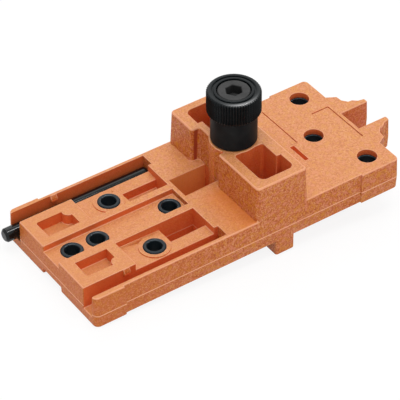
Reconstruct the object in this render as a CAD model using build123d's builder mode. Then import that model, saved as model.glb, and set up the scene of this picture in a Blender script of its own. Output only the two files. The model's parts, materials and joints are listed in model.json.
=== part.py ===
"""A drilling jig for furniture panels.

One moulded body of fibre-filled plastic carries pressed-in steel drill bushes, a knurled knob on a
socket-head screw, and a stop rod that slides in one of two side channels. Lengths are in millimetres.
The origin is on the underside, on the centre plane, where the underside meets the fence bar's face.
+X points to the rear prongs, +Y to the side that holds the rod, and +Z up.
"""

import os
from math import radians, sqrt, tan

from build123d import *

os.makedirs("parts", exist_ok=True)

# Body block. Distances "from the front" are measured along the jig from its front face.
fence_from_front = 83.0
body_length = 142.6
body_width = 61.0
body_height = 14.4
parting_height = 5.7
draft_angle = 2.2
corner_radius = 2.4
edge_radius = 0.6

# Grip pads that stand proud of both sides.
pad_proud = 0.8
front_pad_length = 13.8
rear_pad_length = 18.8

# Stepped prongs at the rear, and the sighting notch between them.
notch_depth = 1.2
notch_width = 11.0
notch_offset = -0.8
prong_reach = 12.2
prong_tip_width = 2.9
prong_tip_radius = 1.0
prong_steps = ((0.0, 12.5), (3.8, 10.3), (4.1, 7.2), (5.6, 5.3), (7.4, 5.1), (9.2, 3.5))

# Fence bar across the underside.
fence_thickness = 8.8
fence_drop = 6.8
fence_corner_radius = 1.0

# Side channels for the stop rod, and the rails outside them.
rail_thickness = 1.7
channel_width = 6.0
channel_length = 60.9
channel_depth = 9.95

# Wedge-shaped catches over the channels, on each channel's left wall.
catch_start = 17.9
catch_length = 2.9
catch_reach = 1.1
catch_ramp = 1.6
catch_land = 1.2
catch_height = 3.6

# Stepped island between the channels.
island_block_length = 23.7
island_length = 59.1
ridge_inner = 5.4
ridge_width = 3.2
middle_depth = 2.8
side_depth = 3.2

# Shallow pockets near the front, each with a round post in its rear outer corner.
front_pocket_start = 5.3
front_pocket_length = 13.8
front_pocket_inner = 9.3
front_pocket_width = 9.0
front_pocket_depth = 4.8
post_radius = 2.7
post_inset = 0.6

# Deep pockets at the rear of the island.
rear_pocket_length = 15.8
rear_pocket_inner = 8.6
rear_pocket_width = 8.4
rear_pocket_ledge = 7.6
rear_pocket_ledge_width = 2.0
floor_thickness = 2.0

# Hump with two open boxes and the screw boss between them.
hump_start = 74.1
hump_length = 24.3
hump_height = 15.6
hump_setback = 3.8
hump_corner_radius = 1.6
hump_edge_radius = 0.9
setback_right = 3.3
setback_left = 14.5
setback_corner_radius = 1.2
hump_opening_start = 79.3
hump_opening_length = 15.2
hump_opening_inner = 7.7
hump_side_wall = 4.7
hump_opening_radius = 2.6
hump_jog = 2.0
hump_jog_end = 17.0
boss_radius = 9.8

# Slot that runs back from the island under the boss.
slot_left = 10.3
slot_right = 1.1

# Drill bushes.
bush_outer = 9.0
bush_bore = 5.8
bush_mouth = 0.35
bush_proud = 0.35
bush_recess = 0.3
bush_boss_radius = 6.3
bush_row_from_front = 36.5
bush_row_spacing = 32.0
front_bush_from_front = 9.7
centre_bush_from_front = 21.1
rear_bush_from_front = 54.0
plate_bush_outer = 10.4
plate_bush_bore = 8.0
plate_bush_cover = 2.8
plate_pair_from_front = 132.9
plate_pair_spacing = 44.8
plate_middle_from_front = 123.4
press_seat = 0.01

# Marks on the rear plate and the relief under the front edge.
sight_slot_from_front = 112.2
sight_slot_width = 1.8
sight_slot_length = 10.0
sight_slot_offset = 5.5
sight_slot_depth = 2.6
mark_width = 0.5
mark_depth = 0.3
cross_mark_from_front = 115.3
cross_mark_length = 23.6
cross_mark_offset = 12.0
frame_mark_start = 130.9
frame_mark_end = 139.3
frame_mark_side = 11.6
relief_width = 13.0
relief_length = 4.5
relief_height = 2.6

# Knob, spacer sleeve, clamp screw and the insert that it threads into.
knob_from_front = 85.6
knob_offset = 1.6
knob_diameter = 21.4
knob_height = 10.0
knob_chamfer = 0.7
knob_grooves = 60
knob_groove_depth = 0.5
knob_ring_radius = 7.9
knob_ring_width = 0.7
knob_ring_depth = 0.5
sleeve_diameter = 18.4
sleeve_length = 13.0
sleeve_chamfer = 0.4
seat_gap = 0.15
screw_diameter = 8.0
screw_length = 35.0
screw_head_diameter = 13.0
screw_head_height = 8.0
screw_head_chamfer = 0.4
screw_socket_width = 6.0
screw_socket_depth = 4.0
screw_socket_turn = 3.75
screw_tip_chamfer = 0.9
screw_clearance = 0.3
thread_clearance = 0.05
screw_head_sink = 0.2
screw_hole_runout = 2.0
insert_outer = 11.0
insert_length = 12.0
insert_chamfer = 0.5

# Stop rod.
rod_diameter = 5.7
rod_protrusion = 5.2
rod_end_gap = 0.3
rod_chamfer = 0.8
rod_floor_gap = 0.3

# Planes. Sketches on them measure their first coordinate from the front face.
front_x = -fence_from_front
under = Plane((front_x, 0, 0))
parting = Plane((front_x, 0, parting_height))
top = Plane((front_x, 0, body_height))
hump_top = Plane((front_x, 0, body_height + hump_height))

# Sizes that follow from the ones above.
half_width = body_width / 2
rear_pad_start = body_length - rear_pad_length
notch_from_front = body_length - notch_depth
pad_half_width = half_width + pad_proud
top_inset = (body_height - parting_height) * tan(radians(draft_angle))
under_inset = parting_height * tan(radians(draft_angle))
hump_inset = hump_height * tan(radians(draft_angle))
top_half_width = half_width - top_inset
notch_half = notch_width / 2
prong_tip = body_length + prong_reach
prong_outline = [(body_length + along, notch_half + across) for along, across in prong_steps]
prong_outline += [(prong_tip, notch_half + prong_tip_width), (prong_tip, notch_half)]
prong_outline += [(notch_from_front, notch_half)]
channel_outer = half_width - rail_thickness
channel_inner = channel_outer - channel_width
channel_middle = channel_inner + channel_width / 2
cored_depth = body_height - floor_thickness
rear_pocket_start = island_length - rear_pocket_length
hump_end = hump_start + hump_length
setback_station = hump_start + hump_setback
setback_reach = setback_left + setback_corner_radius
hump_opening_outer = half_width - hump_side_wall
hump_middle = hump_opening_start + hump_opening_length / 2
knob_axis = (knob_from_front, knob_offset)
boss_top_z = body_height + hump_height
sleeve_base_z = boss_top_z + seat_gap
knob_base_z = sleeve_base_z + sleeve_length + seat_gap
knob_top_z = knob_base_z + knob_height
screw_head_top_z = knob_top_z - screw_head_sink
screw_seat_z = screw_head_top_z - screw_head_height
screw_tip_z = screw_seat_z - screw_length
knob_groove_side = knob_groove_depth * sqrt(2)
row_bushes = [(bush_row_from_front, side * bush_row_spacing / 2) for side in (1, -1)]
middle_bushes = [(front_bush_from_front, 0), (centre_bush_from_front, 0), (rear_bush_from_front, 0)]
plate_bushes = [(plate_pair_from_front, side * plate_pair_spacing / 2) for side in (1, -1)]
plate_bushes.append((plate_middle_from_front, 0))


def strip(start, end, right, left, mode=Mode.ADD):
    """A rectangle in the current sketch, from start to end along the jig and right to left across it."""
    with Locations(((start + end) / 2, (right + left) / 2)):
        Rectangle(end - start, left - right, mode=mode)


def both_sides(start, end, inner, outer):
    """The same rectangle on both sides of the centre plane."""
    strip(start, end, inner, outer)
    strip(start, end, -outer, -inner)


# The body's plan at the parting line: a block with grip pads, and the two prongs behind it.
with BuildSketch(parting) as plan:
    strip(0, body_length, -half_width, half_width)
    strip(0, front_pad_length, -pad_half_width, pad_half_width)
    strip(rear_pad_start, body_length, -pad_half_width, pad_half_width)
    outer_corners = plan.vertices().filter_by(lambda v: abs(v.Y) > half_width + pad_proud / 2)
    fillet(outer_corners.group_by(Axis.X)[0] + outer_corners.group_by(Axis.X)[-1], corner_radius)
    for side in (1, -1):
        with BuildLine():
            Polyline(*[(along, notch_offset + side * across) for along, across in prong_outline], close=True)
        make_face()
    strip(notch_from_front, body_length, notch_offset - notch_half, notch_offset + notch_half, Mode.SUBTRACT)
    fillet(plan.vertices().group_by(Axis.X)[-1], prong_tip_radius)

# The same plan at the platform and at the underside, drawn in by the draft.
with BuildSketch(top) as top_plan:
    add(plan.sketch_local)
    offset(amount=-top_inset, kind=Kind.INTERSECTION)
with BuildSketch(under) as under_plan:
    add(plan.sketch_local)
    offset(amount=-under_inset, kind=Kind.INTERSECTION)

# Mouth of one open box of the hump, about the hump's middle, with a jog in its rear wall.
with BuildSketch() as box_mouth:
    half_opening = hump_opening_length / 2
    strip(-half_opening, half_opening, -hump_opening_outer, -hump_opening_inner)
    fillet(box_mouth.vertices().group_by(Axis.Y)[0], hump_opening_radius)
    with Locations((half_opening - hump_jog / 2, -(hump_opening_inner + hump_jog_end) / 2)):
        Rectangle(hump_jog, hump_jog_end - hump_opening_inner, mode=Mode.SUBTRACT)

with BuildPart() as jig_body:
    # Block, drafted both ways from the parting line and rounded round its top and bottom.
    loft([plan.sketch, top_plan.sketch])
    loft([plan.sketch, under_plan.sketch])
    fillet(jig_body.edges().group_by(Axis.Z)[-1] + jig_body.edges().group_by(Axis.Z)[0], edge_radius)

    # Hump, whose sides carry on the block's draft, set back in the middle of its front.
    for level, inset in ((parting, -top_inset), (hump_top, hump_inset)):
        with BuildSketch(level) as hump_plan:
            strip(hump_start + inset, hump_end - inset, inset - top_half_width, top_half_width - inset)
            fillet(hump_plan.vertices(), hump_corner_radius)
            front = hump_start + inset
            strip(front, front + hump_setback, -setback_right, setback_left, Mode.SUBTRACT)
            inner_corners = hump_plan.vertices().filter_by(lambda v: abs(v.Y) < setback_reach)
            fillet(inner_corners, setback_corner_radius)
    loft()
    fillet(jig_body.edges().group_by(Axis.Z)[-1], hump_edge_radius)

    # Fence bar, square to the underside.
    with BuildSketch(parting) as fence_plan:
        strip(fence_from_front, fence_from_front + fence_thickness, -half_width, half_width)
        fillet(fence_plan.vertices(), fence_corner_radius)
    extrude(amount=-(parting_height + fence_drop))
    fillet(jig_body.edges().group_by(Axis.Z)[0], edge_radius)

    # Side channels, open at the front.
    with BuildSketch(top):
        both_sides(0, channel_length, channel_inner, channel_outer)
    extrude(amount=-channel_depth, mode=Mode.SUBTRACT)

    # Steps of the island.
    with BuildSketch(top):
        strip(0, island_length, -ridge_inner, ridge_inner)
    extrude(amount=-middle_depth, mode=Mode.SUBTRACT)
    with BuildSketch(top):
        both_sides(island_block_length, island_length, ridge_inner + ridge_width, channel_inner)
    extrude(amount=-side_depth, mode=Mode.SUBTRACT)

    # Front pockets and their posts.
    pocket_end = front_pocket_start + front_pocket_length
    pocket_outer = front_pocket_inner + front_pocket_width
    with BuildSketch(top):
        both_sides(front_pocket_start, pocket_end, front_pocket_inner, pocket_outer)
        with Locations((pocket_end, pocket_outer - post_inset), (pocket_end, post_inset - pocket_outer)):
            Circle(post_radius, mode=Mode.SUBTRACT)
    extrude(amount=-front_pocket_depth, mode=Mode.SUBTRACT)

    # Rear pockets, with a ledge along their inner wall.
    pocket_outer = rear_pocket_inner + rear_pocket_width
    with BuildSketch(top):
        both_sides(rear_pocket_start, island_length, rear_pocket_inner, pocket_outer)
    extrude(amount=-rear_pocket_ledge, mode=Mode.SUBTRACT)
    with BuildSketch(top):
        both_sides(
            rear_pocket_start, island_length, rear_pocket_inner, pocket_outer - rear_pocket_ledge_width
        )
    extrude(amount=-cored_depth, mode=Mode.SUBTRACT)

    # Slot from the island to the boss.
    with BuildSketch(top):
        strip(channel_length, setback_station, -slot_right, slot_left)
    extrude(amount=-cored_depth, mode=Mode.SUBTRACT)

    # Open boxes of the hump: the second is the first turned half a turn about the hump's middle.
    with BuildSketch(hump_top):
        with Locations(Location((hump_middle, 0, 0)), Location((hump_middle, 0, 0), (0, 0, 180))):
            add(box_mouth.sketch)
        with Locations(knob_axis):
            Circle(boss_radius, mode=Mode.SUBTRACT)
    extrude(amount=-(hump_height + cored_depth), mode=Mode.SUBTRACT)

    # Boss for the clamp screw.
    with BuildSketch(hump_top):
        with Locations(knob_axis):
            Circle(boss_radius)
    extrude(amount=-(hump_height + cored_depth))

    # Low round bosses under the outer pair of front bushes.
    with BuildSketch(top.offset(-side_depth)):
        with Locations(*row_bushes):
            Circle(bush_boss_radius)
    extrude(amount=side_depth - middle_depth)

    # Catches: a ramp from the wall's top edge, a short land and a slope back to the wall.
    for wall in (channel_outer, -channel_inner):
        with BuildSketch(Plane((front_x + catch_start, wall, body_height), z_dir=(1, 0, 0), x_dir=(0, 1, 0))):
            with BuildLine():
                Polyline(
                    (0, 0),
                    (-catch_reach, -catch_ramp),
                    (-catch_reach, -catch_ramp - catch_land),
                    (0, -catch_height),
                    close=True,
                )
            make_face()
        extrude(amount=catch_length)

    # Seats of the front bushes.
    with BuildSketch(under):
        with Locations(*row_bushes, *middle_bushes):
            Circle(bush_outer / 2 + press_seat)
    extrude(amount=body_height, mode=Mode.SUBTRACT)

    # Seats of the rear bushes, pressed in from below against a collar.
    with BuildSketch(under):
        with Locations(*plate_bushes):
            Circle(plate_bush_bore / 2)
    extrude(amount=body_height, mode=Mode.SUBTRACT)
    with BuildSketch(under):
        with Locations(*plate_bushes):
            Circle(plate_bush_outer / 2 + press_seat)
    extrude(amount=body_height - plate_bush_cover, mode=Mode.SUBTRACT)

    # Hole for the insert, and the clearance hole below it for the screw's end.
    with BuildSketch(hump_top):
        with Locations(knob_axis):
            Circle(insert_outer / 2 + press_seat)
    extrude(amount=-insert_length, mode=Mode.SUBTRACT)
    with BuildSketch(hump_top):
        with Locations(knob_axis):
            Circle(screw_diameter / 2 + screw_clearance)
    extrude(amount=-(boss_top_z - screw_tip_z + screw_hole_runout), mode=Mode.SUBTRACT)

    # Sighting slot and engraved marks on the rear plate.
    with BuildSketch(top):
        with Locations((sight_slot_from_front, -sight_slot_offset)):
            Rectangle(sight_slot_width, sight_slot_length)
    extrude(amount=-sight_slot_depth, mode=Mode.SUBTRACT)
    with BuildSketch(top):
        with Locations((cross_mark_from_front, cross_mark_offset)):
            Rectangle(mark_width, cross_mark_length)
        strip(frame_mark_start, frame_mark_end, frame_mark_side - mark_width, frame_mark_side)
        strip(frame_mark_end - mark_width, frame_mark_end, -frame_mark_side, frame_mark_side)
    extrude(amount=-mark_depth, mode=Mode.SUBTRACT)

    # Relief under the front edge.
    with BuildSketch(under):
        strip(0, relief_length, -relief_width / 2, relief_width / 2)
    extrude(amount=relief_height, mode=Mode.SUBTRACT)

jig_body.part.label = "jig_body"
export_step(jig_body.part, "parts/jig_body.step")


# Cylinders that stand on their plane.
standing = (Align.CENTER, Align.CENTER, Align.MIN)


def drill_bush(name, spot, outer, bore, top_z):
    """A headless drill bush at a plan position, from just above the underside up to top_z."""
    length = top_z - bush_recess
    with BuildPart(Plane((front_x + spot[0], spot[1], bush_recess))) as bush:
        Cylinder(outer / 2, length, align=standing)
        Cylinder(bore / 2, length, align=standing, mode=Mode.SUBTRACT)
        chamfer(bush.edges().filter_by(GeomType.CIRCLE), bush_mouth)
    bush.part.label = name
    export_step(bush.part, f"parts/{name}.step")


front_bush_top = body_height - middle_depth + bush_proud
drill_bush("row_bush_left", row_bushes[0], bush_outer, bush_bore, front_bush_top)
drill_bush("row_bush_right", row_bushes[1], bush_outer, bush_bore, front_bush_top)
drill_bush("middle_bush_front", middle_bushes[0], bush_outer, bush_bore, front_bush_top)
drill_bush("middle_bush_centre", middle_bushes[1], bush_outer, bush_bore, front_bush_top)
drill_bush("middle_bush_rear", middle_bushes[2], bush_outer, bush_bore, front_bush_top)

plate_bush_top = body_height - plate_bush_cover - bush_recess
drill_bush("plate_bush_left", plate_bushes[0], plate_bush_outer, plate_bush_bore, plate_bush_top)
drill_bush("plate_bush_right", plate_bushes[1], plate_bush_outer, plate_bush_bore, plate_bush_top)
drill_bush("plate_bush_middle", plate_bushes[2], plate_bush_outer, plate_bush_bore, plate_bush_top)


def on_knob_axis(height):
    """A level plane on the knob's axis."""
    return Plane((front_x + knob_from_front, knob_offset, height))


# Threaded insert, flush with the boss.
with BuildPart(on_knob_axis(boss_top_z - insert_length)) as threaded_insert:
    Cylinder(insert_outer / 2, insert_length, align=standing)
    Cylinder(screw_diameter / 2 + thread_clearance, insert_length, align=standing, mode=Mode.SUBTRACT)
    rims = threaded_insert.edges().filter_by(GeomType.CIRCLE)
    chamfer(rims.group_by(Axis.Z)[-1], insert_chamfer)
threaded_insert.part.label = "threaded_insert"
export_step(threaded_insert.part, "parts/threaded_insert.step")

# Spacer sleeve between the boss and the knob.
with BuildPart(on_knob_axis(sleeve_base_z)) as spacer_sleeve:
    Cylinder(sleeve_diameter / 2, sleeve_length, align=standing)
    chamfer(spacer_sleeve.edges().filter_by(GeomType.CIRCLE), sleeve_chamfer)
    Cylinder(screw_diameter / 2 + screw_clearance, sleeve_length, align=standing, mode=Mode.SUBTRACT)
spacer_sleeve.part.label = "spacer_sleeve"
export_step(spacer_sleeve.part, "parts/spacer_sleeve.step")

# Turned cap with a counterbore for the screw head, a ring groove on top and straight knurling.
with BuildPart() as clamp_knob:
    with BuildSketch(on_knob_axis(knob_base_z)):
        Circle(knob_diameter / 2)
    extrude(amount=knob_height)
    chamfer(clamp_knob.edges().filter_by(GeomType.CIRCLE), knob_chamfer)
    with BuildSketch(on_knob_axis(knob_base_z)):
        Circle(screw_diameter / 2 + thread_clearance)
    extrude(amount=knob_height, mode=Mode.SUBTRACT)
    with BuildSketch(on_knob_axis(screw_seat_z)):
        Circle(screw_head_diameter / 2 + screw_clearance)
    extrude(amount=screw_head_height + screw_head_sink, mode=Mode.SUBTRACT)
    with BuildSketch(on_knob_axis(knob_top_z)):
        Circle(knob_ring_radius + knob_ring_width)
        Circle(knob_ring_radius, mode=Mode.SUBTRACT)
    extrude(amount=-knob_ring_depth, mode=Mode.SUBTRACT)
    with BuildSketch(on_knob_axis(knob_base_z)):
        with PolarLocations(knob_diameter / 2, knob_grooves):
            Rectangle(knob_groove_side, knob_groove_side, rotation=45)
    extrude(amount=knob_height, mode=Mode.SUBTRACT)
clamp_knob.part.label = "clamp_knob"
export_step(clamp_knob.part, "parts/clamp_knob.step")

# Socket-head screw: head, socket and plain shank, whose thread is too fine to model.
with BuildPart() as clamp_screw:
    with BuildSketch(on_knob_axis(screw_tip_z)):
        Circle(screw_diameter / 2)
    extrude(amount=screw_length)
    chamfer(clamp_screw.edges().group_by(Axis.Z)[0], screw_tip_chamfer)
    with BuildSketch(on_knob_axis(screw_seat_z)):
        Circle(screw_head_diameter / 2)
    extrude(amount=screw_head_height)
    chamfer(clamp_screw.edges().group_by(Axis.Z)[-1], screw_head_chamfer)
    with BuildSketch(on_knob_axis(screw_head_top_z)):
        RegularPolygon(screw_socket_width / 2, 6, major_radius=False, rotation=screw_socket_turn)
    extrude(amount=-screw_socket_depth, mode=Mode.SUBTRACT)
clamp_screw.part.label = "clamp_screw"
export_step(clamp_screw.part, "parts/clamp_screw.step")

# Stop rod, lying in the left channel with its front end out past the body.
rod_axis_z = body_height - channel_depth + rod_floor_gap + rod_diameter / 2
rod_length = rod_protrusion + channel_length - rod_end_gap
with BuildPart() as stop_rod:
    with BuildSketch(Plane((front_x - rod_protrusion, channel_middle, rod_axis_z), z_dir=(1, 0, 0))):
        Circle(rod_diameter / 2)
    extrude(amount=rod_length)
    chamfer(stop_rod.edges().filter_by(GeomType.CIRCLE), rod_chamfer)
stop_rod.part.label = "stop_rod"
export_step(stop_rod.part, "parts/stop_rod.step")
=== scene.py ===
import json
import math

import bmesh
import bpy
from mathutils import Matrix, Vector
from mathutils.bvhtree import BVHTree

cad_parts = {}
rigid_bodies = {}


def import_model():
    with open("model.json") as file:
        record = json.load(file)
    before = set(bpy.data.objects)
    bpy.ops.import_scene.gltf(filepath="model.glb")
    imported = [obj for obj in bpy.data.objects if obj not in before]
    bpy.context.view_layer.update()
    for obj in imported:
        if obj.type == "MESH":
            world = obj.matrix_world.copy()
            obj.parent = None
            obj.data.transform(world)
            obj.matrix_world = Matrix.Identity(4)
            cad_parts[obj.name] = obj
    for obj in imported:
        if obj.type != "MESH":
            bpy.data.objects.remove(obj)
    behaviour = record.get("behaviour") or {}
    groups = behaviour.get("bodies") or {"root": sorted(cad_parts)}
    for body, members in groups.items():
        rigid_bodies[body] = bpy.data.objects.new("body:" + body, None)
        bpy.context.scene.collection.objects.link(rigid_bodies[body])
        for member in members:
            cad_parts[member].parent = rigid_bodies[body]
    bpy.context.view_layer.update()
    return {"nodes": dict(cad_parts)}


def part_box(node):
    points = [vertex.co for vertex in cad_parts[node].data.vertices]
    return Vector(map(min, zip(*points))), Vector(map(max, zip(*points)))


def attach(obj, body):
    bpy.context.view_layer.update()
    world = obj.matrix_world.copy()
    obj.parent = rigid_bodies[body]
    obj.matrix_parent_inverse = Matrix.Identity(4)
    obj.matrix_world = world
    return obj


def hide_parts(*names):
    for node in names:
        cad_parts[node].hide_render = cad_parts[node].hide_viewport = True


# A drilling jig for furniture panels, dressed for the photograph. Lengths are in metres.

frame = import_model()
MM = 0.001
MERGE_DISTANCE = 0.004 * MM

# Photograph's viewpoint, solved from the jig's own edges
CAMERA_PLACE = Vector((-388.918, -552.325, 579.13)) * MM
CAMERA_RIGHT = Vector((0.82329, -0.56754, -0.00935))
CAMERA_UP = Vector((0.37508, 0.53159, 0.75942))
CAMERA_BACK = Vector((-0.42603, -0.62873, 0.65053))
CAMERA_REACH = 10.0
SENSOR_WIDTH = 36.0
PHOTO_WIDTH = 400
FOCAL_PIXELS = 2253.19

camera_data = bpy.data.cameras.new("photo_camera")
camera_data.sensor_width = SENSOR_WIDTH
camera_data.sensor_fit = "HORIZONTAL"
camera_data.lens = FOCAL_PIXELS / PHOTO_WIDTH * SENSOR_WIDTH
camera_data.clip_end = CAMERA_REACH
camera = bpy.data.objects.new("photo_camera", camera_data)
bpy.context.scene.collection.objects.link(camera)
camera_turn = Matrix((CAMERA_RIGHT, CAMERA_UP, CAMERA_BACK)).transposed().to_4x4()
camera.matrix_world = Matrix.Translation(CAMERA_PLACE) @ camera_turn
bpy.context.scene.camera = camera


# Modelling helpers
SOFT_ANGLE = math.radians(30)
SOFT_SEGMENTS = 2
SMOOTH_ANGLE = math.radians(35)
CRISP_ANGLE = math.radians(30)
FLAT_FACE_WEIGHT = 100


def deselect_all():
    for item in bpy.context.view_layer.objects:
        item.select_set(False)


def make_active(piece):
    """Selects one piece alone and makes it the active one."""
    deselect_all()
    piece.select_set(True)
    bpy.context.view_layer.objects.active = piece


def edit(piece, select="NONE"):
    """Opens a piece in edit mode with everything or nothing selected."""
    make_active(piece)
    bpy.ops.object.mode_set(mode="EDIT")
    bpy.ops.mesh.select_mode(type="VERT")
    bpy.ops.mesh.select_all(action="SELECT" if select == "ALL" else "DESELECT")


def leave_edit():
    bpy.ops.object.mode_set(mode="OBJECT")


def close_mesh(piece):
    """Merges a piece's seams and turns its faces outwards."""
    edit(piece, "ALL")
    bpy.ops.mesh.remove_doubles(threshold=MERGE_DISTANCE)
    bpy.ops.mesh.normals_make_consistent(inside=False)
    leave_edit()


def shape_points(piece, shape):
    """Hands each point of a piece to a shaping function, at the point's place on the jig."""
    edit(piece)
    mesh = bmesh.from_edit_mesh(piece.data)
    for vertex in mesh.verts:
        vertex.co += piece.location
        shape(vertex)
        vertex.co -= piece.location
    bmesh.update_edit_mesh(piece.data)
    leave_edit()


def apply_modifier(piece, modifier):
    make_active(piece)
    bpy.ops.object.modifier_apply(modifier=modifier.name)


def soften(piece, width):
    """Rounds every sharp edge of a turned piece."""
    rounding = piece.modifiers.new("rounding", "BEVEL")
    rounding.width = width
    rounding.segments = SOFT_SEGMENTS
    rounding.limit_method = "ANGLE"
    rounding.angle_limit = SOFT_ANGLE
    apply_modifier(piece, rounding)


def finish_piece(piece, name, smooth_angle=SMOOTH_ANGLE):
    """Names a piece, applies its place, shades its curves smooth and keeps its flat faces flat."""
    piece.name = name
    piece.data.name = name
    make_active(piece)
    bpy.ops.object.transform_apply(location=True, rotation=True, scale=True)
    bpy.ops.object.shade_smooth_by_angle(angle=smooth_angle)
    flats = piece.modifiers.new("flats", "WEIGHTED_NORMAL")
    flats.keep_sharp = True
    flats.weight = FLAT_FACE_WEIGHT
    apply_modifier(piece, flats)
    deselect_all()


def stand_for(piece, node, body, slot, finish=None):
    """Puts a piece in place of a CAD node, on that node's body, with its slot's finish or one of its own."""
    piece.data.materials.clear()
    piece.data.materials.append(FINISHES[finish or slot])
    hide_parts(node)
    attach(piece, body)


# Turned pieces
TURNED_SIDES = 96
TURNING = "turning"
WEAR_AND_HIGHLIGHT = "wear"


def turned(centre, profile, sides=TURNED_SIDES, solid=False):
    """Turns a piece about an upright axis, ring by ring along its profile of radii and heights."""
    radius, height = profile[0]
    bpy.ops.mesh.primitive_circle_add(
        vertices=sides,
        radius=radius,
        fill_type="NGON" if solid else "NOTHING",
        location=(centre[0], centre[1], height),
    )
    piece = bpy.context.active_object
    edit(piece, "ALL")
    for next_radius, next_height in profile[1:]:
        rise = (0, 0, next_height - height)
        bpy.ops.mesh.extrude_region_move(TRANSFORM_OT_translate={"value": rise})
        grow = next_radius / radius
        middle = (centre[0], centre[1], next_height)
        bpy.ops.transform.resize(value=(grow, grow, 1), center_override=middle)
        radius, height = next_radius, next_height
    leave_edit()
    close_mesh(piece)
    return piece


def mark_turning(piece, centre, axis="Z"):
    """Stores the tool's path on a turned piece: how far along the axis and in from the rim each point is."""
    along, across = {"Z": (2, (0, 1)), "X": (0, (1, 2))}[axis]
    path = piece.data.attributes.new(TURNING, "FLOAT", "POINT")
    for vertex, value in zip(piece.data.vertices, path.data):
        place = vertex.co
        radius = math.hypot(place[across[0]] - centre[0], place[across[1]] - centre[1])
        value.value = (place[along] - radius) / MM


def mark_wear(piece, wear_at):
    """Stores how far the blacking is worn off, or painted bright as a highlight, at each point of a piece,
    from 0 to 1.
    """
    wear = piece.data.attributes.new(WEAR_AND_HIGHLIGHT, "FLOAT", "POINT")
    for vertex, value in zip(piece.data.vertices, wear.data):
        value.value = wear_at(vertex.co)


# Shader helpers


def put(tree, kind, values=None, **settings):
    """Adds a shader node, with its settings and with each input either linked or set."""
    item = tree.nodes.new(kind)
    for key, value in settings.items():
        setattr(item, key, value)
    for key, value in (values or {}).items():
        if isinstance(value, bpy.types.NodeSocket):
            tree.links.new(value, item.inputs[key])
        else:
            item.inputs[key].default_value = value
    return item


def calc(tree, operation, first, second=0.0):
    """A sum, a comparison or the like of two values."""
    return put(tree, "ShaderNodeMath", {0: first, 1: second}, operation=operation).outputs[0]


def product(tree, *values):
    """The product of several values or masks."""
    result = values[0]
    for value in values[1:]:
        result = calc(tree, "MULTIPLY", result, value)
    return result


def spread(tree, value, low, high, to_low=0.0, to_high=1.0):
    """Maps a value from one range to another and holds it there."""
    values = {"Value": value, "From Min": low, "From Max": high, "To Min": to_low, "To Max": to_high}
    return put(tree, "ShaderNodeMapRange", values).outputs["Result"]


def tint(tree, share, first, second):
    """Goes from a first colour to a second by a share from 0 to 1."""
    return put(tree, "ShaderNodeMix", {0: share, 6: first, 7: second}, data_type="RGBA").outputs[2]


def noise(tree, spot, scale, detail, roughness=0.5, distortion=0.0):
    """A cloudy value at each spot, with a scale in clouds per metre."""
    values = {"Vector": spot, "Scale": scale, "Detail": detail}
    values |= {"Roughness": roughness, "Distortion": distortion}
    return put(tree, "ShaderNodeTexNoise", values).outputs["Fac"]


def stored(tree, name):
    """A value that a piece's mesh carries."""
    return put(tree, "ShaderNodeAttribute", attribute_name=name).outputs["Fac"]


def start_group(name, inputs, outputs):
    """A shader group with named inputs and outputs."""
    tree = bpy.data.node_groups.new(name, "ShaderNodeTree")
    for title, default in inputs.items():
        socket = tree.interface.new_socket(title, in_out="INPUT", socket_type="NodeSocketFloat")
        socket.default_value = default
    for title in outputs:
        tree.interface.new_socket(title, in_out="OUTPUT", socket_type="NodeSocketFloat")
    return tree, put(tree, "NodeGroupInput").outputs, put(tree, "NodeGroupOutput").inputs


def place_group(tree, group, values):
    item = put(tree, "ShaderNodeGroup", node_tree=group)
    for key, value in values.items():
        item.inputs[key].default_value = value
    return item.outputs


def new_material(name):
    material = bpy.data.materials.new(name)
    material.use_nodes = True
    return material, material.node_tree, material.node_tree.nodes["Principled BSDF"]


def set_inputs(shader, values):
    for key, value in values.items():
        shader.inputs[key].default_value = value


def raise_surface(tree, shader, height, depth):
    """Gives a shader's surface a relief of the given depth."""
    relief = put(tree, "ShaderNodeBump", {"Height": height, "Distance": depth, "Strength": 1.0})
    tree.links.new(relief.outputs["Normal"], shader.inputs["Normal"])


def white_rays(tree):
    """Tells the rays that meet the white background: the camera's own and those of glossy reflections."""
    seen = put(tree, "ShaderNodeLightPath").outputs
    return calc(tree, "MAXIMUM", seen["Is Camera Ray"], seen["Is Glossy Ray"])


# Shared effects: lathe rings, and the patchy gloss that hands leave
rings, rings_in, rings_out = start_group(
    "lathe_rings", {"Feed": 0.12, "Patch": 300.0}, ["Rings", "Height"]
)
turns = calc(rings, "DIVIDE", stored(rings, TURNING), rings_in["Feed"])
fine_rings = put(
    rings, "ShaderNodeTexNoise", {"W": turns, "Scale": 1.0, "Detail": 2.0}, noise_dimensions="1D"
).outputs["Fac"]
spot = put(rings, "ShaderNodeTexCoord").outputs["Object"]
ring_patch = noise(rings, spot, rings_in["Patch"], detail=3.0)
ring_strength = spread(rings, ring_patch, 0.3, 0.7, 0.5, 1.0)
rings.links.new(product(rings, fine_rings, ring_strength), rings_out["Rings"])
rings.links.new(fine_rings, rings_out["Height"])

handling, handling_in, handling_out = start_group("handling", {"Patch": 60.0}, ["Gloss"])
spot = put(handling, "ShaderNodeTexCoord").outputs["Object"]
hand_patch = noise(handling, spot, handling_in["Patch"], detail=4.0, distortion=0.6)
handling.links.new(spread(handling, hand_patch, 0.35, 0.65), handling_out["Gloss"])


# Steel and brass
LATHE_RELIEF = 0.006 * MM
RING_PATCHES = 400.0
METAL_HANDS = 120.0
RING_RANGE = (0.1, 0.7)

# Wear at which the blacking is fully polished, by how much, and wear at which the metal is bare
POLISHED_WEAR = 0.12
POLISH = 0.6
BARE_WEAR = 0.08


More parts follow.
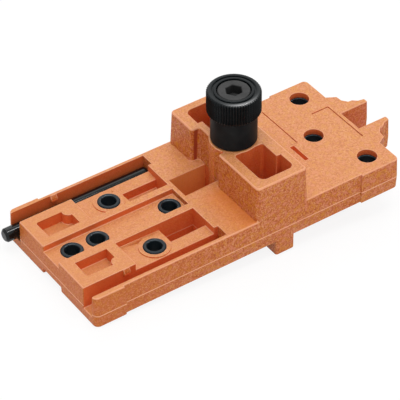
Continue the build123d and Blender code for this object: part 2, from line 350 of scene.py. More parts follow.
def turned_metal(name, dark, light, feed, gloss, rough, shine, metallic=0.0, worn=None):
    """A turned steel or brass: lathe rings, patchy gloss, two close tones, and bright metal where worn or
    where a highlight is painted as wear.
    """
    material, tree, shader = new_material(name)
    lathe = place_group(tree, rings, {"Feed": feed, "Patch": RING_PATCHES})
    hands = place_group(tree, handling, {"Patch": METAL_HANDS})
    tone = product(tree, lathe["Rings"], hands["Gloss"])
    colour = tint(tree, tone, (*dark, 1), (*light, 1))
    roughness = spread(tree, lathe["Rings"], *RING_RANGE, gloss, rough)
    set_inputs(shader, {"Metallic": metallic, "Specular IOR Level": shine})
    # Stored wear turns the surface bright metal; on the knob's rim and the bushes' mouths it is partly a
    # painted highlight.
    if worn:
        wear = stored(tree, WEAR_AND_HIGHLIGHT)
        colour = tint(tree, wear, colour, (*worn, 1))
        polish = spread(tree, wear, 0.0, POLISHED_WEAR, 1.0, POLISH)
        roughness = product(tree, roughness, polish)
        bare = spread(tree, wear, 0.0, BARE_WEAR, metallic, 1.0)
        tree.links.new(bare, shader.inputs["Metallic"])
    tree.links.new(colour, shader.inputs["Base Color"])
    tree.links.new(roughness, shader.inputs["Roughness"])
    raise_surface(tree, shader, lathe["Height"], LATHE_RELIEF)
    return material


FINISHES = {
    "bush_steel": turned_metal(
        "blackened_bush_steel",
        dark=(0.008, 0.014, 0.018),
        light=(0.022, 0.03, 0.037),
        feed=0.1,
        gloss=0.3,
        rough=0.5,
        shine=0.16,
        worn=(0.2, 0.22, 0.24),
    ),
    "knob_steel": turned_metal(
        "blackened_knob_steel",
        dark=(0.003, 0.005, 0.006),
        light=(0.01, 0.012, 0.013),
        feed=0.14,
        gloss=0.2,
        rough=0.4,
        shine=0.08,
        worn=(0.3, 0.3, 0.3),
    ),
    "screw_steel": turned_metal(
        "black_oxide_screw",
        dark=(0.018, 0.018, 0.018),
        light=(0.06, 0.06, 0.06),
        feed=0.2,
        gloss=0.45,
        rough=0.6,
        shine=0.2,
    ),
    "rod_steel": turned_metal(
        "blackened_rod_steel",
        dark=(0.002, 0.003, 0.003),
        light=(0.006, 0.007, 0.008),
        feed=0.3,
        gloss=0.06,
        rough=0.14,
        shine=0.25,
    ),
    "sleeve_steel": turned_metal(
        "blackened_sleeve_steel",
        dark=(0.01, 0.012, 0.013),
        light=(0.024, 0.027, 0.028),
        feed=0.14,
        gloss=0.35,
        rough=0.5,
        shine=0.05,
    ),
    "insert_brass": turned_metal(
        "turned_brass",
        dark=(0.45, 0.3, 0.1),
        light=(0.7, 0.52, 0.22),
        feed=0.15,
        gloss=0.25,
        rough=0.45,
        shine=0.5,
        metallic=1.0,
    ),
}


# Places on the moulded body, and the names of the values stored on its faces
PLATFORM = 14.6 * MM
HUMP_FRONT = -8.0 * MM
SHELTER = "shelter"
ROUNDING = "rounding"

# Plastic's oranges: its own deep, pure, pale and spot tones, a paler one painted as sheen on upward faces,
# and ones for painted shade, glow, bounce light and edge highlights
DEEP_ORANGE = (0.36, 0.06, 0.012, 1)
PURE_ORANGE = (0.54, 0.128, 0.018, 1)
PALE_ORANGE = (0.65, 0.30, 0.125, 1)
WALL_SHADE_ORANGE = (0.76, 0.15, 0.042, 1)
TOP_SHEEN_ORANGE = (0.63, 0.335, 0.155, 1)
GLOW_ORANGE = (0.90, 0.34, 0.095, 1)
EDGE_HIGHLIGHT_AND_SEAM_ORANGE = (0.85, 0.42, 0.25, 1)
FOOT_BOUNCE_AMBER = (0.60, 0.15, 0.012, 1)
SHADE_RED = (0.30, 0.045, 0.02, 1)
PINK_SPOT = (0.60, 0.19, 0.09, 1)
AMBER_SPOT = (0.58, 0.20, 0.02, 1)

# Plastic's mottle: fine grain, longer fibres and spots of dye, all stronger towards the rear
GRAIN_SCALE = 1700.0
GRAIN_SHARE = 0.5
FIBRE_SCALE = 800.0
FIBRE_SHARE = 0.35
DYE_SCALE = 600.0
PINK_DYE = (0.52, 0.72)
AMBER_DYE = (0.48, 0.28)
NOISE_RANGE = (0.3, 0.7)
FRONT_TO_REAR = (-72 * MM, -15 * MM)
FAINT_TO_STRONG = (0.45, 1.0)

# Where the skin takes another orange, and how far it goes towards it: painted sheen on upward faces, painted
# shade and bounce light on walls that face walls, painted bounce light at the hump's foot, painted shade in
# the engraved marks, the parting line, and painted highlights on rounded edges
FACING_UP = (0.7, 0.95)
TOP_SHEEN_SHARE = 0.4
WALL_SHADE_SHARE = 0.75
FOOT_ALONG = (-23 * MM, -9 * MM)
FOOT_ACROSS = (-2 * MM, -8 * MM)
FOOT_BOUNCE_SHARE = 0.65
MARK_FLOOR = 14.1 * MM
MARK_BAND = 0.05 * MM
MARK_SHADE_SHARE = 0.7
LINE_SHARE = 0.9
EDGE_HIGHLIGHT_SHARE = 0.6

# Parting line of the mould
PARTING_HEIGHT = 5.7 * MM
PARTING_WIDTH = 0.3 * MM
OUTER_SIDE = 30.0 * MM
FRONT_FACE = -82.8 * MM
POCKET_SIDE = 18.0 * MM
POCKET_REAR = -23.0 * MM
POCKET_SHELTER = 0.9

# Plastic's gloss and relief
SKIN_ROUGHNESS = (0.5, 0.4)
SKIN_SHINE = 0.25
BODY_HANDS = 45.0
HANDS_SHARE = 0.06
LEANING = (0.12, 0.35)
NOT_LEVEL = (0.99, 0.9)
EDGE_POLISH = 0.12
SKIN_RELIEF = 0.03 * MM
LINE_RELIEF = 3.0


def off_height(tree, axes, height):
    """How far above or below a height each point lies."""
    return calc(tree, "ABSOLUTE", calc(tree, "SUBTRACT", axes["Z"], height))


def mottle(tree, spot, strength):
    """The skin's tone from 0 to 1, from its grain and fibres."""
    grain = noise(tree, spot, GRAIN_SCALE, detail=2.0, roughness=0.6)
    fibres = noise(tree, spot, FIBRE_SCALE, detail=1.0, distortion=2.0)
    grain_tone = spread(tree, grain, *NOISE_RANGE, -GRAIN_SHARE, GRAIN_SHARE)
    fibre_tone = spread(tree, fibres, *NOISE_RANGE, -FIBRE_SHARE, FIBRE_SHARE)
    swing = calc(tree, "ADD", grain_tone, fibre_tone)
    return calc(tree, "ADD", product(tree, swing, strength), 0.5)


def mottled_skin(tree, tone, dye, strength):
    """The open skin's colour, from deep to pale orange with spots of pink and amber."""
    skin = tint(tree, spread(tree, tone, 0.0, 0.5), DEEP_ORANGE, PURE_ORANGE)
    skin = tint(tree, spread(tree, tone, 0.5, 1.0), skin, PALE_ORANGE)
    skin = tint(tree, product(tree, spread(tree, dye, *PINK_DYE), strength), skin, PINK_SPOT)
    return tint(tree, product(tree, spread(tree, dye, *AMBER_DYE), strength), skin, AMBER_SPOT)


def hump_foot(tree, axes, rise):
    """Masks the platform at the foot of the hump's right half, where bounce light from the hump is painted
    amber.
    """
    return product(
        tree,
        spread(tree, axes["X"], *FOOT_ALONG),
        spread(tree, rise, *FACING_UP),
        spread(tree, axes["Y"], *FOOT_ACROSS),
        calc(tree, "LESS_THAN", axes["Z"], PLATFORM),
        calc(tree, "LESS_THAN", axes["X"], HUMP_FRONT),
    )


def parting_line(tree, axes, sheltered):
    """Masks the line where the mould's halves met, on the outer faces and in the deep pockets."""
    across = calc(tree, "ABSOLUTE", axes["Y"])
    on_side = calc(tree, "GREATER_THAN", across, OUTER_SIDE)
    on_front = calc(tree, "LESS_THAN", axes["X"], FRONT_FACE)
    in_pocket = product(
        tree,
        calc(tree, "LESS_THAN", across, POCKET_SIDE),
        calc(tree, "LESS_THAN", axes["X"], POCKET_REAR),
        calc(tree, "GREATER_THAN", sheltered, POCKET_SHELTER),
    )
    place = calc(tree, "MAXIMUM", on_side, calc(tree, "MAXIMUM", on_front, in_pocket))
    level = spread(tree, off_height(tree, axes, PARTING_HEIGHT), PARTING_WIDTH, PARTING_WIDTH / 2)
    return product(tree, level, place)


def rounded_edges(tree, rise):
    """Masks the rounded edges that look up at a slant, which catch the light."""
    leaning = spread(tree, rise, *LEANING)
    return product(tree, leaning, spread(tree, rise, *NOT_LEVEL), stored(tree, ROUNDING))


def mottled_plastic(name):
    """Fibre-filled plastic: mottled, with painted sheen on upward faces, painted shade where walls face
    walls, painted bounce light, painted highlights on its rounded edges, and a parting line.
    """
    material, tree, shader = new_material(name)
    place = put(tree, "ShaderNodeTexCoord").outputs
    spot = place["Object"]
    axes = put(tree, "ShaderNodeSeparateXYZ", {"Vector": spot}).outputs
    rise = put(tree, "ShaderNodeSeparateXYZ", {"Vector": place["Normal"]}).outputs["Z"]
    sheltered = stored(tree, SHELTER)
    strength = spread(tree, axes["X"], *FRONT_TO_REAR, *FAINT_TO_STRONG)
    tone = mottle(tree, spot, strength)
    line = parting_line(tree, axes, sheltered)
    rounded = rounded_edges(tree, rise)

    skin = mottled_skin(tree, tone, noise(tree, spot, DYE_SCALE, detail=1.0), strength)
    # Painted sheen: faces that look up turn paler.
    skin = tint(tree, spread(tree, rise, *FACING_UP, 0.0, TOP_SHEEN_SHARE), skin, TOP_SHEEN_ORANGE)
    # Painted bounce light: the platform at the hump's foot turns amber.
    skin = tint(tree, product(tree, hump_foot(tree, axes, rise), FOOT_BOUNCE_SHARE), skin, FOOT_BOUNCE_AMBER)
    # Painted shade and bounce light: walls that face walls turn a deeper, redder orange, the hump's jog is
    # painted dark red, and the slot's left wall is painted as if lit through.
    skin = tint(tree, spread(tree, sheltered, 0.0, 1.0, 0.0, WALL_SHADE_SHARE), skin, WALL_SHADE_ORANGE)
    skin = tint(tree, spread(tree, sheltered, 1.0, 2.0), skin, SHADE_RED)
    skin = tint(tree, spread(tree, sheltered, 0.0, -1.0), skin, GLOW_ORANGE)
    # Painted shade: the floors of the engraved marks turn deep orange.
    off_mark = off_height(tree, axes, MARK_FLOOR)
    mark_shade = spread(tree, off_mark, MARK_BAND * 2, MARK_BAND, 0.0, MARK_SHADE_SHARE)
    skin = tint(tree, mark_shade, skin, DEEP_ORANGE)
    # The parting line turns pale, and the rounded edges that look up get a painted highlight.
    on_line = product(tree, line, LINE_SHARE)
    seam_and_highlight = calc(tree, "MAXIMUM", on_line, product(tree, rounded, EDGE_HIGHLIGHT_SHARE))
    tree.links.new(tint(tree, seam_and_highlight, skin, EDGE_HIGHLIGHT_AND_SEAM_ORANGE), shader.inputs["Base Color"])

    hands = place_group(tree, handling, {"Patch": BODY_HANDS})
    handled = product(tree, hands["Gloss"], HANDS_SHARE)
    rough = calc(tree, "ADD", spread(tree, tone, 0.0, 1.0, *SKIN_ROUGHNESS), handled)
    rough = calc(tree, "SUBTRACT", rough, product(tree, rounded, EDGE_POLISH))
    tree.links.new(rough, shader.inputs["Roughness"])
    set_inputs(shader, {"Specular IOR Level": SKIN_SHINE})
    relief = calc(tree, "ADD", tone, product(tree, line, LINE_RELIEF))
    raise_surface(tree, shader, relief, SKIN_RELIEF)
    return material


FINISHES["body_plastic"] = mottled_plastic("mottled_orange_plastic")


# Moulded body: the CAD form with its edges rounded as a mould leaves them
EDGE_ROUND = 0.3 * MM
EDGE_SEGMENTS = 3
BOX_CORNER_ROUND = 1.0 * MM
BOX_CORNER_SEGMENTS = 4
BOX_CORNER_LENGTH = 20 * MM
SHARP_ANGLE = math.radians(40)
FLAT_ANGLE = math.radians(1)
CURVE_ANGLE = math.radians(50)
FLAT_AREA = 20 * MM * MM
UPRIGHT = 0.5

# Room that a rounding needs beside it, in widths, the least share of a width that is rounded at all, and
# the cosine past which two edges at a corner count as one line
ROOM = 3.0
LEAST_SHARE = 0.8
SAME_LINE = -0.85

# Walls that look at walls: how far they look, how deep the shade is, and where it differs
SHELTER_REACH = 26 * MM
STAND_OFF = 0.05 * MM
WALLED_SHADE = 1.0
SLOT_FRONT = -23 * MM
SLOT_REAR = -4.5 * MM
SLOT_RIGHT = -4 * MM
SLOT_LEFT = 16 * MM
SLOT_SHADE = 0.7
SLOT_GLOW = -0.8
NOTCH_FRONT = 57 * MM
NOTCH_SHADE = 0.4
JOG_RIGHT = 12 * MM
JOG_SHADE = 1.8
NARROW = 0.3 * MM


def copy_of_node(node, name):
    """A copy of a CAD node's mesh, merged and with its flat faces made whole."""
    piece = bpy.data.objects.new(name, frame["nodes"][node].data.copy())
    piece.data.name = name
    bpy.context.scene.collection.objects.link(piece)
    edit(piece, "ALL")
    bpy.ops.mesh.remove_doubles(threshold=MERGE_DISTANCE)
    bpy.ops.mesh.dissolve_limited(angle_limit=FLAT_ANGLE)
    leave_edit()
    return piece


def is_box_corner(edge):
    """Tells the long upright edges in the corners of the hump's boxes."""
    length = abs(edge.verts[0].co.z - edge.verts[1].co.z)
    return length > BOX_CORNER_LENGTH and not edge.is_convex


def is_softened(edge):
    """Tells every edge but the upright inner corners, which the mould leaves crisp."""
    reach = edge.verts[1].co - edge.verts[0].co
    return edge.is_convex or abs(reach.z) < UPRIGHT * reach.length


def share_with_room(edge, width, sharp):
    """The share of a rounding's width that the edges beside both ends of an edge leave room for."""
    share = 1.0
    for corner in edge.verts:
        along = (edge.other_vert(corner).co - corner.co).normalized()
        for other in corner.link_edges:
            reach = other.other_vert(corner).co - corner.co
            carries_on = other in sharp and along.dot(reach.normalized()) < SAME_LINE
            if other is not edge and not carries_on:
                share = min(share, reach.length / (ROOM * width))
    return share if share >= LEAST_SHARE else 0.0


def weigh_edges(piece, width, wanted):
    """Weights each wanted sharp edge that has room for the rounding, and leaves the rest sharp."""
    mesh = bmesh.new()
    mesh.from_mesh(piece.data)
    layers = mesh.edges.layers.float
    weight = layers.get("bevel_weight_edge") or layers.new("bevel_weight_edge")
    sharp = {edge for edge in mesh.edges if edge.calc_face_angle(0) > SHARP_ANGLE}
    for edge in mesh.edges:
        is_rounded = edge in sharp and wanted(edge)
        edge[weight] = share_with_room(edge, width, sharp) if is_rounded else 0.0
    mesh.to_mesh(piece.data)
    mesh.free()


def round_edges(piece, width, segments, wanted):
    """Rounds the wanted edges of the moulded body."""
    weigh_edges(piece, width, wanted)
    rounding = piece.modifiers.new("rounding", "BEVEL")
    rounding.width = width
    rounding.segments = segments
    rounding.limit_method = "WEIGHT"
    rounding.use_clamp_overlap = False
    rounding.loop_slide = False
    rounding.miter_outer = "MITER_SHARP"
    apply_modifier(piece, rounding)


def depth_of_shade(face):
    """How deep in shade a walled face lies: most in the hump's jog, and lit on the slot's left wall."""
    place = face.calc_center_median()
    if place.x > NOTCH_FRONT:
        return NOTCH_SHADE
    in_slot = SLOT_FRONT < place.x < SLOT_REAR and SLOT_RIGHT < place.y < SLOT_LEFT
    if in_slot and face.normal.y < -UPRIGHT and place.z < PLATFORM:
        return SLOT_GLOW
    if in_slot and face.normal.y < -UPRIGHT and place.y > JOG_RIGHT:
        return JOG_SHADE
    return SLOT_SHADE if in_slot else WALLED_SHADE


def mark_faces(piece):
    """Marks the upright faces that look at another wall close by, and the narrow faces of rounded edges."""
    mesh = bmesh.new()
    mesh.from_mesh(piece.data)
    tree = BVHTree.FromBMesh(mesh)
    marks = {SHELTER: [], ROUNDING: []}
    for face in mesh.faces:
        start = face.calc_center_median() + face.normal * STAND_OFF
        hit = tree.ray_cast(start, face.normal, SHELTER_REACH)[0]
        walled = hit is not None and abs(face.normal.z) < UPRIGHT
        marks[SHELTER].append(depth_of_shade(face) if walled else 0.0)
        longest = max(edge.calc_length() for edge in face.edges)
        width = face.calc_area() / max(longest, MERGE_DISTANCE)
        marks[ROUNDING].append(1.0 if width < NARROW else 0.0)
    mesh.free()
    for name, values in marks.items():
        piece.data.attributes.new(name, "FLOAT", "FACE").data.foreach_set("value", values)


body = copy_of_node("jig_body", "moulded_body")
round_edges(body, BOX_CORNER_ROUND, BOX_CORNER_SEGMENTS, is_box_corner)
round_edges(body, EDGE_ROUND, EDGE_SEGMENTS, is_softened)
edit(body, "ALL")
bpy.ops.mesh.remove_doubles(threshold=MERGE_DISTANCE)
bpy.ops.mesh.dissolve_degenerate(threshold=MERGE_DISTANCE)
leave_edit()
make_active(body)
bpy.ops.object.shade_smooth_by_angle(angle=CURVE_ANGLE)
for face in body.data.polygons:
    face.use_smooth = face.use_smooth and face.area < FLAT_AREA
mark_faces(body)
stand_for(body, "jig_body", "jig_body", "body_plastic")


# Drill bushes: one of each size is turned, and the others are copies of it
ROW_BORE = 2.9 * MM
PLATE_BORE = 4.0 * MM
BUSH_MOUTH = 0.35 * MM
BUSH_SOFT = 0.08 * MM
MOUTH_EDGE = 1.02
MOUTH_WEAR_AND_HIGHLIGHT = 0.25


def drill_bush(node, bore):
    """Turns a headless bush with a chamfer at each rim, in place of a CAD node."""
    low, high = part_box(node)
    centre = (low + high) / 2
    outer = (high.x - low.x) / 2
    profile = [
        (bore, low.z + BUSH_MOUTH),
        (bore, high.z - BUSH_MOUTH),
        (bore + BUSH_MOUTH, high.z),
        (outer - BUSH_MOUTH, high.z),
        (outer, high.z - BUSH_MOUTH),
        (outer, low.z + BUSH_MOUTH),
        (outer - BUSH_MOUTH, low.z),
        (bore + BUSH_MOUTH, low.z),
        (bore, low.z + BUSH_MOUTH),
    ]
    bush = turned(centre, profile)
    soften(bush, BUSH_SOFT)
    finish_piece(bush, "turned_" + node)
    mark_turning(bush, centre)

    # The mouth's chamfer is worn bright all round, which also stands as a painted highlight on the bore's
    # rim.
    def mouth_wear_and_highlight(place):
        radius = math.hypot(place.x - centre.x, place.y - centre.y)
        at_mouth = radius < bore + BUSH_MOUTH * MOUTH_EDGE and place.z > high.z - BUSH_SOFT
        return MOUTH_WEAR_AND_HIGHLIGHT if at_mouth else 0.0

    mark_wear(bush, mouth_wear_and_highlight)
    stand_for(bush, node, "jig_body", "bush_steel")
    return bush


def copy_bush(bush, first_node, node):
    """A copy of a turned bush, with its own mesh, in place of another node."""
    copy = bpy.data.objects.new("turned_" + node, bush.data.copy())
    copy.data.name = copy.name
    bpy.context.scene.collection.objects.link(copy)
    copy.data.transform(Matrix.Translation(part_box(node)[0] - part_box(first_node)[0]))
    stand_for(copy, node, "jig_body", "bush_steel")


row_bush = drill_bush("row_bush_left", ROW_BORE)
for other in ("row_bush_right", "middle_bush_front", "middle_bush_centre", "middle_bush_rear"):
    copy_bush(row_bush, "row_bush_left", other)
plate_bush = drill_bush("plate_bush_left", PLATE_BORE)
for other in ("plate_bush_right", "plate_bush_middle"):
    copy_bush(plate_bush, "plate_bush_left", other)


# Knob column: insert, sleeve, knurled cap and socket screw on one axis
knob_low, knob_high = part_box("clamp_knob")
KNOB_AXIS = (knob_low + knob_high) / 2


def knob_radius(place):
    return math.hypot(place.x - KNOB_AXIS.x, place.y - KNOB_AXIS.y)


def knob_angle(place):
    return math.atan2(place.y - KNOB_AXIS.y, place.x - KNOB_AXIS.x)


def set_radius(vertex, radius):
    """Moves a point level, straight from the knob's axis, to a radius."""
    share = radius / knob_radius(vertex.co)
    vertex.co.x = KNOB_AXIS.x + (vertex.co.x - KNOB_AXIS.x) * share
    vertex.co.y = KNOB_AXIS.y + (vertex.co.y - KNOB_AXIS.y) * share


# Brass insert
INSERT_BORE = 4.05 * MM
INSERT_RIM = 0.5 * MM
insert_low, insert_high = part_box("threaded_insert")
insert_radius = (insert_high.x - insert_low.x) / 2
insert = turned(
    KNOB_AXIS,
    [
        (INSERT_BORE, insert_low.z),
        (INSERT_BORE, insert_high.z - INSERT_RIM),
        (INSERT_BORE + INSERT_RIM, insert_high.z),
        (insert_radius - INSERT_RIM, insert_high.z),
        (insert_radius, insert_high.z - INSERT_RIM),
        (insert_radius, insert_low.z),
        (INSERT_BORE, insert_low.z),
    ],
)
finish_piece(insert, "brass_insert")
mark_turning(insert, KNOB_AXIS)
stand_for(insert, "threaded_insert", "jig_body", "insert_brass")

# Sleeve
SLEEVE_BORE = 4.3 * MM
SLEEVE_RIM = 0.4 * MM
SLEEVE_SOFT = 0.15 * MM
sleeve_low, sleeve_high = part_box("spacer_sleeve")
sleeve_radius = (sleeve_high.x - sleeve_low.x) / 2
sleeve = turned(
    KNOB_AXIS,
    [
        (SLEEVE_BORE, sleeve_low.z),
        (SLEEVE_BORE, sleeve_high.z),
        (sleeve_radius - SLEEVE_RIM, sleeve_high.z),
        (sleeve_radius, sleeve_high.z - SLEEVE_RIM),
        (sleeve_radius, sleeve_low.z + SLEEVE_RIM),
        (sleeve_radius - SLEEVE_RIM, sleeve_low.z),
        (SLEEVE_BORE, sleeve_low.z),
    ],
)
soften(sleeve, SLEEVE_SOFT)
finish_piece(sleeve, "turned_sleeve")
mark_turning(sleeve, KNOB_AXIS)
stand_for(sleeve, "spacer_sleeve", "sleeve", "knob_steel", finish="sleeve_steel")

# Knurled cap
KNOB_GROOVES = 60
SIDES_PER_GROOVE = 4
KNOB_SIDES = SIDES_PER_GROOVE * KNOB_GROOVES
GROOVE_DEPTH = 0.5 * MM
KNOB_RIM = 0.7 * MM
KNOB_SOFT = 0.12 * MM
SHANK_HOLE = 4.05 * MM
COUNTERBORE = 6.8 * MM
RING_INNER = 7.9 * MM
RING_OUTER = 8.6 * MM
RING_DEPTH = 0.5 * MM
HEAD_HEIGHT = 8.0 * MM
# The rim's bright side is a painted highlight, turned towards the lamp that glints there; the crests' wear
# goes all round.
RIM_HIGHLIGHT = 0.5
CREST_WEAR = 0.04
RIM_HIGHLIGHT_SIDE = math.radians(-101)
RIM_HIGHLIGHT_FOCUS = 6
TOUCH = 0.15 * MM
knob_outer = (knob_high.x - knob_low.x) / 2
screw_low, screw_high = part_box("clamp_screw")
head_seat = screw_high.z - HEAD_HEIGHT


def cut_knurl(vertex):
    """Draws a point of the cap's side in to the knurl, whose grooves run from crest to crest."""
    half = SIDES_PER_GROOVE / 2
    step = round(knob_angle(vertex.co) / math.tau * KNOB_SIDES) % SIDES_PER_GROOVE
    depth = GROOVE_DEPTH * (1 - abs(step - half) / half)
    if knob_radius(vertex.co) > knob_outer - depth:
        set_radius(vertex, knob_outer - depth)


def knob_wear_and_highlight(place):
    """Paints a highlight on one side of the knob's upper rim as bright bare metal, and wears the crests of
    its knurling a little all round.
    """
    radius = knob_radius(place)
    if place.z > knob_high.z - TOUCH and radius > knob_outer - KNOB_RIM - TOUCH:
        turn = knob_angle(place) - RIM_HIGHLIGHT_SIDE
        return CREST_WEAR + RIM_HIGHLIGHT * max(0.0, math.cos(turn)) ** RIM_HIGHLIGHT_FOCUS
    return CREST_WEAR if radius > knob_outer - TOUCH else 0.0


knob = turned(
    KNOB_AXIS,
    [
        (SHANK_HOLE, knob_low.z),
        (SHANK_HOLE, head_seat),
        (COUNTERBORE, head_seat),
        (COUNTERBORE, knob_high.z),
        (RING_INNER, knob_high.z),
        (RING_INNER, knob_high.z - RING_DEPTH),
        (RING_OUTER, knob_high.z - RING_DEPTH),
        (RING_OUTER, knob_high.z),
        (knob_outer - KNOB_RIM, knob_high.z),
        (knob_outer, knob_high.z - KNOB_RIM),
        (knob_outer, knob_low.z + KNOB_RIM),
        (knob_outer - KNOB_RIM, knob_low.z),
        (SHANK_HOLE, knob_low.z),
    ],
    sides=KNOB_SIDES,
)
soften(knob, KNOB_SOFT)
shape_points(knob, cut_knurl)
finish_piece(knob, "knurled_cap", CRISP_ANGLE)
mark_turning(knob, KNOB_AXIS)
mark_wear(knob, knob_wear_and_highlight)
stand_for(knob, "clamp_knob", "knob", "knob_steel")

# Socket screw: a turned head with a hexagonal socket, a plain neck and a rolled thread
HEAD_RADIUS = 6.5 * MM
HEAD_RIM = 0.4 * MM
HEAD_SOFT = 0.1 * MM
HEX = 6
SOCKET_REACH = 3.0 * MM
SOCKET_DEPTH = 4.0 * MM
SOCKET_MOUTH = 0.25 * MM
SOCKET_TURN = math.radians(3.75)
NECK_RADIUS = 4.0 * MM
THREAD_TOP = 38.0 * MM
THREAD_ROOT = 3.35 * MM
THREAD_PITCH = 1.25 * MM
THREAD_DEPTH = NECK_RADIUS - THREAD_ROOT
THREAD_STEPS = 48
SPARE_TURNS = 2
TIP_CHAMFER = 0.9 * MM

# Radii between which the socket's wall and mouth lie, with some play
SOCKET_WALL = (SOCKET_REACH * 0.9, SOCKET_REACH + SOCKET_MOUTH * 1.5)

# One pitch of the thread: root, lower flank, crest and upper flank, in depths out and pitches up
THREAD_FORM = ((0, 0.25), (1, 0.3125), (0, 0.125), (-1, 0.3125))


def cut_socket(vertex):
    """Draws the socket's round wall out to a hexagon."""
    radius = knob_radius(vertex.co)
    in_head = vertex.co.z > THREAD_TOP + NECK_RADIUS
    if in_head and SOCKET_WALL[0] < radius < SOCKET_WALL[1]:
        turn = knob_angle(vertex.co) - SOCKET_TURN
        from_flat = turn % (math.tau / HEX) - math.pi / HEX
        set_radius(vertex, radius / math.cos(from_flat))


def taper_tip(vertex):
    """Draws the thread's lowest turns in to the chamfer of the screw's tip."""
    tip_radius = NECK_RADIUS - TIP_CHAMFER + vertex.co.z - screw_low.z
    if knob_radius(vertex.co) > tip_radius:
        set_radius(vertex, tip_radius)


def rolled_thread():
    """Winds one pitch of the thread up the knob's axis and trims it at both ends."""
    start = (KNOB_AXIS.x, KNOB_AXIS.y, screw_low.z - THREAD_PITCH)
    bpy.ops.mesh.primitive_plane_add(size=MM, location=start)
    thread = bpy.context.active_object
    edit(thread, "ALL")
    bpy.ops.mesh.merge(type="CENTER")
    bpy.ops.transform.translate(value=(THREAD_ROOT, 0, 0))
    for out, up in THREAD_FORM:
        step = (out * THREAD_DEPTH, 0, up * THREAD_PITCH)
        bpy.ops.mesh.extrude_vertices_move(TRANSFORM_OT_translate={"value": step})
    leave_edit()
    winding = thread.modifiers.new("winding", "SCREW")
    winding.screw_offset = THREAD_PITCH
    winding.iterations = math.ceil((THREAD_TOP - screw_low.z) / THREAD_PITCH) + SPARE_TURNS
    winding.steps = THREAD_STEPS
    winding.render_steps = THREAD_STEPS
    winding.use_merge_vertices = True
    winding.merge_threshold = MERGE_DISTANCE
    apply_modifier(thread, winding)
    close_mesh(thread)
    for height, above in ((screw_low.z, True), (THREAD_TOP + THREAD_DEPTH / 2, False)):
        edit(thread, "ALL")
        bpy.ops.mesh.bisect(
            plane_co=(0, 0, height),
            plane_no=(0, 0, 1),
            use_fill=True,
            clear_inner=above,
            clear_outer=not above,
        )
        leave_edit()
    shape_points(thread, taper_tip)
    return thread


screw = turned(
    KNOB_AXIS,
    [
        (THREAD_ROOT, THREAD_TOP),
        (NECK_RADIUS, THREAD_TOP + THREAD_DEPTH),
        (NECK_RADIUS, head_seat),
        (HEAD_RADIUS, head_seat),
        (HEAD_RADIUS, screw_high.z - HEAD_RIM),
        (HEAD_RADIUS - HEAD_RIM, screw_high.z),
        (SOCKET_REACH + SOCKET_MOUTH, screw_high.z),
        (SOCKET_REACH, screw_high.z - SOCKET_MOUTH),
        (SOCKET_REACH, screw_high.z - SOCKET_DEPTH),
        (SOCKET_REACH / 4, screw_high.z - SOCKET_DEPTH - SOCKET_REACH / 4),
    ],
    solid=True,
)
shape_points(screw, cut_socket)
soften(screw, HEAD_SOFT)
thread = rolled_thread()
make_active(screw)
thread.select_set(True)
bpy.ops.object.join()
finish_piece(screw, "socket_screw", CRISP_ANGLE)
mark_turning(screw, KNOB_AXIS)
stand_for(screw, "clamp_screw", "knob", "screw_steel")


# Stop rod, turned upright and then laid along its channel
ROD_CHAMFER = 0.8 * MM
ROD_SOFT = 0.2 * MM
rod_low, rod_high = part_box("stop_rod")
rod_radius = (rod_high.z - rod_low.z) / 2
rod_axis = ((rod_low.y + rod_high.y) / 2, (rod_low.z + rod_high.z) / 2)
rod_length = rod_high.x - rod_low.x
rod = turned(
    (0, 0),
    [
        (rod_radius - ROD_CHAMFER, 0),
        (rod_radius, ROD_CHAMFER),
        (rod_radius, rod_length - ROD_CHAMFER),
        (rod_radius - ROD_CHAMFER, rod_length),
    ],
    solid=True,
)
soften(rod, ROD_SOFT)
rod.rotation_euler = (0, math.pi / 2, 0)
rod.location = (rod_low.x, *rod_axis)
finish_piece(rod, "ground_rod")
mark_turning(rod, rod_axis, "X")
stand_for(rod, "stop_rod", "rod", "rod_steel")


# Floor: the jig leans on the front edge of its underside and on the foot of its fence
FLOOR_SIZE = 4.0
FLOOR_GAP = 0.05 * MM
PAPER_WHITE = (0.9, 0.9, 0.9, 1)
PAPER_ROUGHNESS = 0.9
PAPER_GLOW = 0.88
PURE_WHITE = (1, 1, 1, 1)


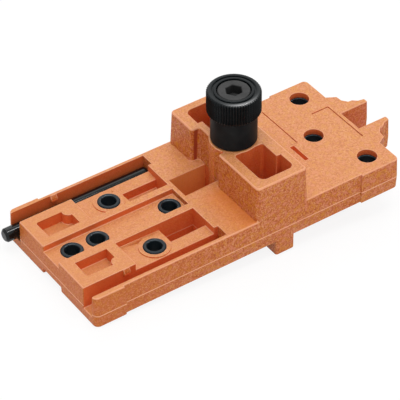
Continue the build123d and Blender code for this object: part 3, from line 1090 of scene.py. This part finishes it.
def white_paper(name):
    """Matt paper that the camera and reflections see as white, and that still takes the jig's shadow."""
    material, tree, shader = new_material(name)
    set_inputs(
        shader,
        {"Base Color": PAPER_WHITE, "Roughness": PAPER_ROUGHNESS, "Specular IOR Level": 0.0},
    )
    glow = put(tree, "ShaderNodeEmission", {"Color": PURE_WHITE, "Strength": 1.0}).outputs["Emission"]
    share = product(tree, white_rays(tree), PAPER_GLOW)
    mixed = put(tree, "ShaderNodeMixShader", {0: share, 1: shader.outputs["BSDF"], 2: glow})
    tree.links.new(mixed.outputs["Shader"], tree.nodes["Material Output"].inputs["Surface"])
    return material


jig_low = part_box("jig_body")[0]
bpy.ops.mesh.primitive_plane_add(size=FLOOR_SIZE, location=(0, 0, jig_low.z - FLOOR_GAP))
floor = bpy.context.active_object
floor.rotation_euler = (0, math.atan2(-jig_low.z, -jig_low.x), 0)
floor.name = "floor"
floor.data.materials.append(white_paper("white_floor"))


# Studio light: lamps, and an even white world
LAMPS = {
    "top_lamp": {"place": (-0.1, -0.1, 1.2), "size": 0.8, "power": 7.6},
    "rear_lamp": {"place": (0.47, 0.69, 0.83), "size": 0.9, "power": 4.0},
    "front_lamp": {"place": (-0.2, -0.95, 0.75), "size": 0.35, "power": 1.0},
    "left_lamp": {"place": (-1.1, 0.1, 0.35), "size": 0.4, "power": 0.3},
    "right_lamp": {"place": (0.81, -0.58, 0.71), "size": 0.14, "power": 0.9},
    "streak_lamp": {"place": (0.32, -0.15, 1.07), "size": 0.1, "power": 0.9},
}
AMBIENT = 0.5


def hang_lamp(name, place, size, power):
    """A square lamp at a place, turned towards the jig."""
    data = bpy.data.lights.new(name, "AREA")
    data.shape = "SQUARE"
    data.size = size
    data.energy = power
    lamp = bpy.data.objects.new(name, data)
    bpy.context.scene.collection.objects.link(lamp)
    lamp.location = place
    lamp.rotation_euler = (-Vector(place)).to_track_quat("-Z", "Y").to_euler()


for lamp_name, lamp_values in LAMPS.items():
    hang_lamp(lamp_name, **lamp_values)

world = bpy.data.worlds.new("studio")
bpy.context.scene.world = world
world.use_nodes = True
sky = world.node_tree
sky_inputs = sky.nodes["Background"].inputs
sky_inputs["Color"].default_value = PURE_WHITE
sky.links.new(spread(sky, white_rays(sky), 0, 1, AMBIENT, 1.0), sky_inputs["Strength"])

bpy.context.scene.view_settings.view_transform = "Standard"
